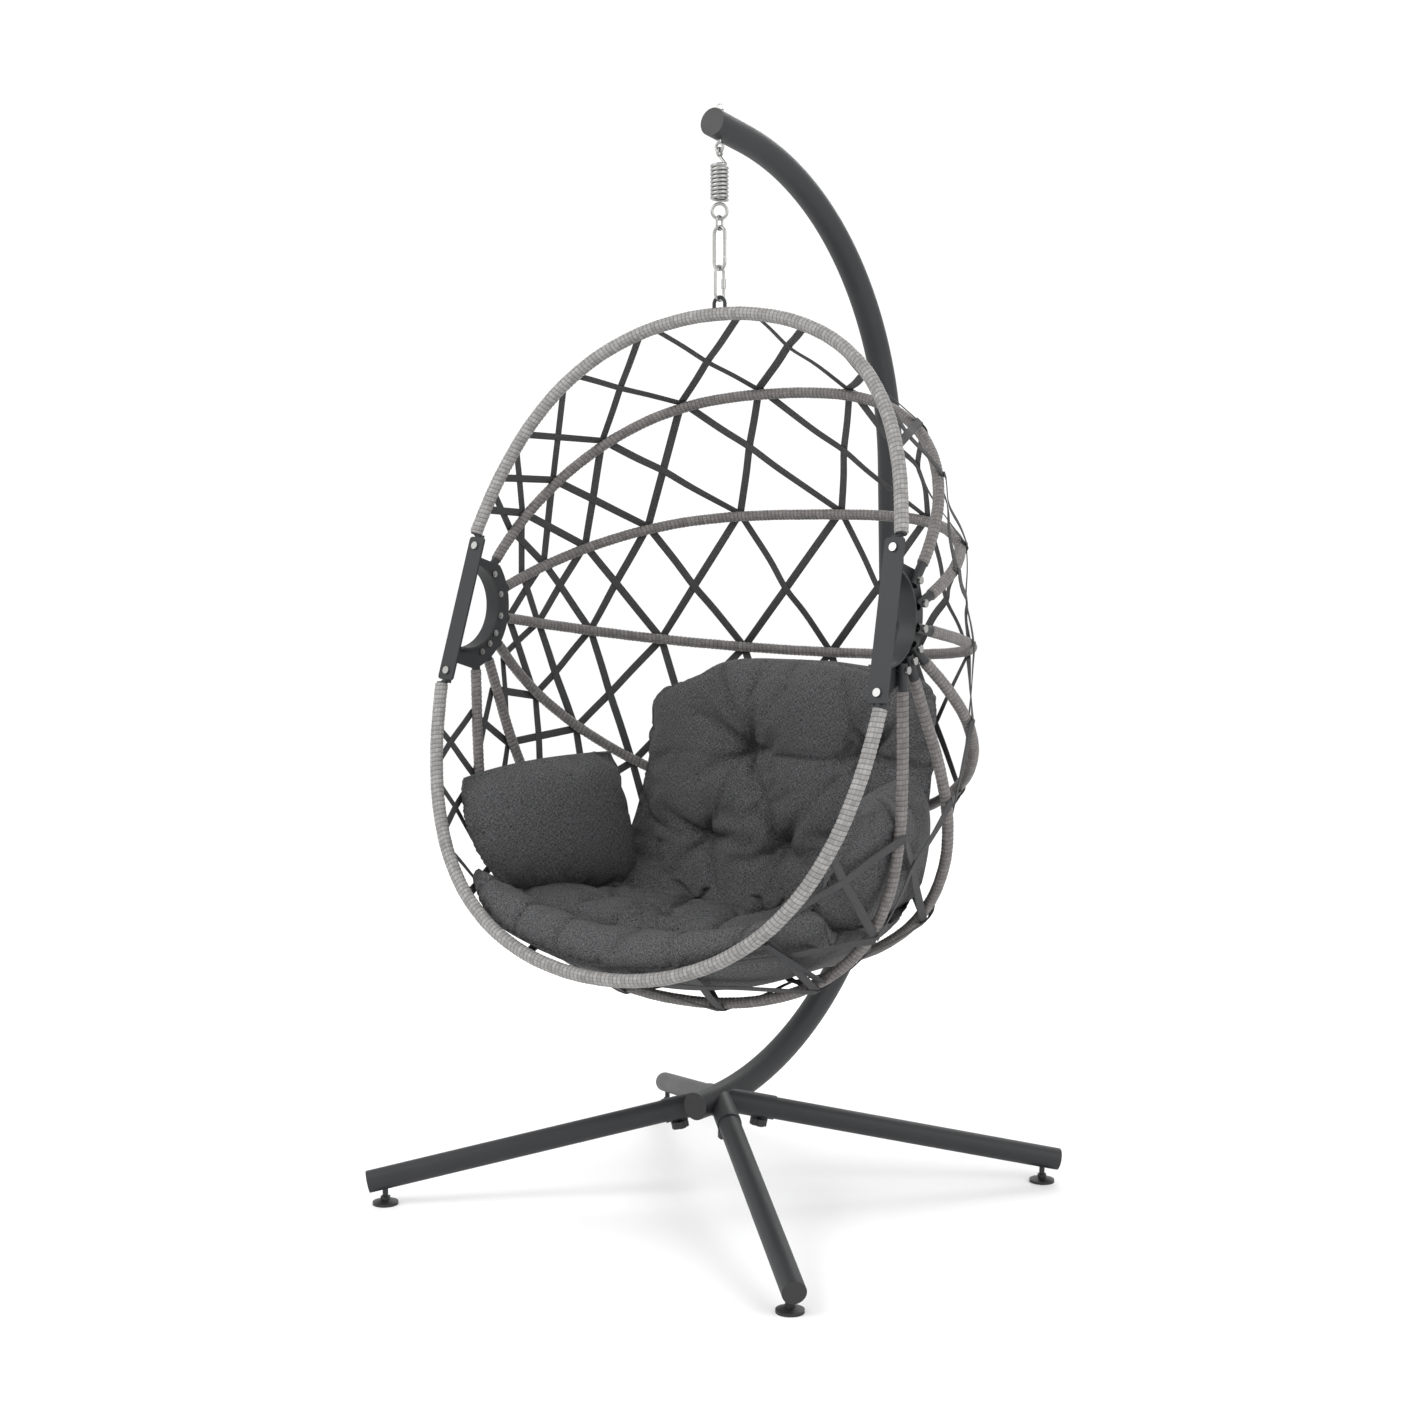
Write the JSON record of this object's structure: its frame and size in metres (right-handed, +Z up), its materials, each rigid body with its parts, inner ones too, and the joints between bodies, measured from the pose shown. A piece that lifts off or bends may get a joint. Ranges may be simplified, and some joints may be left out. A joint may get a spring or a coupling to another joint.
{
  "type": "hanging egg chair",
  "caption": "Egg-shaped hanging basket seat of wrapped tubes and crossed straps with padded cushions, on a C-shaped arm with a cross base.",
  "frame": {"origin": "on the floor, under the middle of the whole chair's box", "axes": "+Z up; the basket opens towards -Y and the arm stands at +Y; +X is to the right seen from the front"},
  "size_m": [0.9826, 1.064, 1.954],
  "materials": {
    "charcoal_frame": "satin powder coat",
    "hoop_wrap_weave": "wound flat resin strand",
    "rib_wrap_weave": "wound flat resin strand",
    "strap_webbing": "matte flat resin strap",
    "zinc_hardware": "bright zinc plate",
    "black_plastic": "moulded",
    "cushion_fabric": "melange woven"
  },
  "bodies": {
    "stand": {"lower_arm_tube": "charcoal_frame", "upper_arm_tube": "charcoal_frame", "arm_joint_sleeve": "charcoal_frame", "arm_joint_screws": "zinc_hardware", "arm_end_caps": "black_plastic", "leg_sockets": "charcoal_frame", "leg_end_caps": "black_plastic", "eye_bolt": "zinc_hardware", "eye_bolt_nut": "zinc_hardware", "leg_front_left": "charcoal_frame", "leg_front_right": "charcoal_frame", "leg_rear_left": "charcoal_frame", "leg_rear_right": "charcoal_frame"},
    "foot_front_left": {"foot_front_left": "black_plastic"},
    "foot_front_right": {"foot_front_right": "black_plastic"},
    "foot_rear_left": {"foot_rear_left": "black_plastic"},
    "foot_rear_right": {"foot_rear_right": "black_plastic"},
    "knob_front_left": {"knob_front_left": "black_plastic"},
    "knob_front_right": {"knob_front_right": "black_plastic"},
    "knob_rear_left": {"knob_rear_left": "black_plastic"},
    "knob_rear_right": {"knob_rear_right": "black_plastic"},
    "spring_upper": {"spring_top_hook": "zinc_hardware", "spring_coil": "zinc_hardware"},
    "spring_lower": {"spring_bottom_loop": "zinc_hardware"},
    "chain_link": {"upper_chain_link": "zinc_hardware"},
    "snap_hook": {"snap_hook": "zinc_hardware", "lower_chain_link": "zinc_hardware"},
    "snap_gate": {"snap_gate": "zinc_hardware"},
    "basket": {"basket_bolts": "zinc_hardware", "hanger_ring": "charcoal_frame", "lower_hoop": "charcoal_frame", "lower_hoop_wrap": "hoop_wrap_weave", "rib_1": "charcoal_frame", "rib_1_wrap": "rib_wrap_weave", "rib_2": "charcoal_frame", "rib_2_wrap": "rib_wrap_weave", "rib_3": "charcoal_frame", "rib_3_wrap": "rib_wrap_weave", "rib_4": "charcoal_frame", "rib_4_wrap": "rib_wrap_weave", "rib_5": "charcoal_frame", "rib_5_wrap": "rib_wrap_weave", "rib_6": "charcoal_frame", "rib_6_wrap": "rib_wrap_weave", "seat_back_cushion": "cushion_fabric", "seat_stays": "charcoal_frame", "side_bolster_left": "cushion_fabric", "side_bolster_right": "cushion_fabric", "side_bracket_left": "charcoal_frame", "side_bracket_right": "charcoal_frame", "strap_row_1": "strap_webbing", "strap_row_2": "strap_webbing", "strap_row_3": "strap_webbing", "strap_row_4": "strap_webbing", "strap_row_5": "strap_webbing", "strap_row_6": "strap_webbing", "strap_row_7": "strap_webbing", "upper_hoop": "charcoal_frame", "upper_hoop_wrap": "hoop_wrap_weave"}
  },
  "joints": [
    {"name": "swing_fore_aft", "type": "hinge", "parent": "stand", "child": "spring_upper", "pos_m": [0, -0.0835, 1.8725], "axis": [1, 0, 0], "range_deg": [-15, 5]},
    {"name": "spring_stretch", "type": "slide", "parent": "spring_upper", "child": "spring_lower", "axis": [0, 0, -1], "range_m": [0, 0.03], "stiffness_N_per_m": 30000, "springref_m": -0.01, "deforming": ["spring_coil"]},
    {"name": "swing_sideways", "type": "hinge", "parent": "spring_lower", "child": "chain_link", "pos_m": [0, -0.0835, 1.7606], "axis": [0, 1, 0], "range_deg": [-7, 7]},
    {"name": "swivel", "type": "hinge", "parent": "chain_link", "child": "snap_hook", "pos_m": [0, -0.0835, 1.7366], "axis": [0, 0, 1], "range_deg": [-35, 35]},
    {"name": "gate_hinge", "type": "hinge", "parent": "snap_hook", "child": "snap_gate", "pos_m": [0.0115, -0.0835, 1.6892], "axis": [0, 1, 0], "range_deg": [-22, 0], "stiffness_Nm_per_rad": 0.02, "springref_deg": 17.19},
    {"name": "basket_nod", "type": "hinge", "parent": "snap_hook", "child": "basket", "pos_m": [0, -0.0835, 1.6195], "axis": [1, 0, 0], "range_deg": [-8, 2]},
    {"name": "foot_front_left_level", "type": "slide", "parent": "stand", "child": "foot_front_left", "axis": [0, 0, -1], "range_m": [-0.003, 0.008]},
    {"name": "foot_front_right_level", "type": "slide", "parent": "stand", "child": "foot_front_right", "axis": [0, 0, -1], "range_m": [-0.003, 0.008]},
    {"name": "foot_rear_left_level", "type": "slide", "parent": "stand", "child": "foot_rear_left", "axis": [0, 0, -1], "range_m": [-0.003, 0.008]},
    {"name": "foot_rear_right_level", "type": "slide", "parent": "stand", "child": "foot_rear_right", "axis": [0, 0, -1], "range_m": [-0.003, 0.008]},
    {"name": "knob_front_left_turn", "type": "hinge", "parent": "stand", "child": "knob_front_left", "pos_m": [-0.05267, -0.13261, 0.13052], "axis": [-0.1521, -0.1418, 0.9781], "continuous": true},
    {"name": "knob_front_right_turn", "type": "hinge", "parent": "stand", "child": "knob_front_right", "pos_m": [0.05267, -0.13261, 0.13052], "axis": [0.1521, -0.1418, 0.9781], "continuous": true},
    {"name": "knob_rear_left_turn", "type": "hinge", "parent": "stand", "child": "knob_rear_left", "pos_m": [-0.05267, -0.03439, 0.13052], "axis": [-0.1521, 0.1418, 0.9781], "continuous": true},
    {"name": "knob_rear_right_turn", "type": "hinge", "parent": "stand", "child": "knob_rear_right", "pos_m": [0.05267, -0.03439, 0.13052], "axis": [0.1521, 0.1418, 0.9781], "continuous": true}
  ]
}
